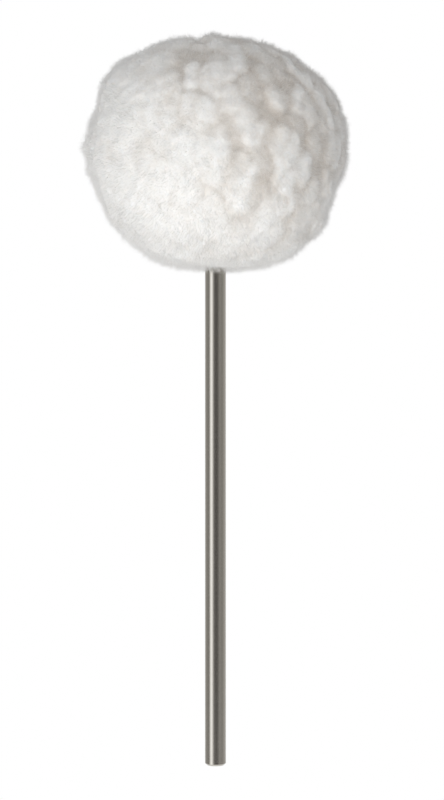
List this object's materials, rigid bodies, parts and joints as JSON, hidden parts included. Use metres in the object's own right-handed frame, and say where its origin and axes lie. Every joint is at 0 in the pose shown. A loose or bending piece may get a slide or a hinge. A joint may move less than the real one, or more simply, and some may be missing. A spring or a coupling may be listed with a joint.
{
  "type": "bass drum beater",
  "caption": "Bass drum beater: a fleece-covered felt ball bolted to the end of a round ground steel shaft that a pedal's hub clamps",
  "frame": {"origin": "the centre of the shaft's flat free end", "axes": "+Z runs along the shaft from its free end to the head, and -Y faces the viewer of the picture, with +X to the right"},
  "size_m": [0.1002, 0.1004, 0.2783],
  "materials": {
    "shaft_steel": "ground",
    "zinc_steel": "zinc plated",
    "sleeve_aluminium": "turned",
    "core_felt": "pressed felt",
    "plug_felt": "pressed felt",
    "knit_backing": "knitted",
    "fleece": "long pile",
    "waxed_thread": "waxed"
  },
  "bodies": {
    "root": {"shaft": "shaft_steel", "lower_washer": "zinc_steel", "upper_washer": "zinc_steel", "lock_washer": "zinc_steel", "retaining_nut": "zinc_steel", "core_sleeve": "sleeve_aluminium", "felt_core": "core_felt", "felt_plug": "plug_felt", "cover_backing": "knit_backing", "cover_pile": "fleece", "neck_binding": "waxed_thread", "crown_drawstring": "waxed_thread", "seam_thread": "waxed_thread"}
  },
  "joints": []
}
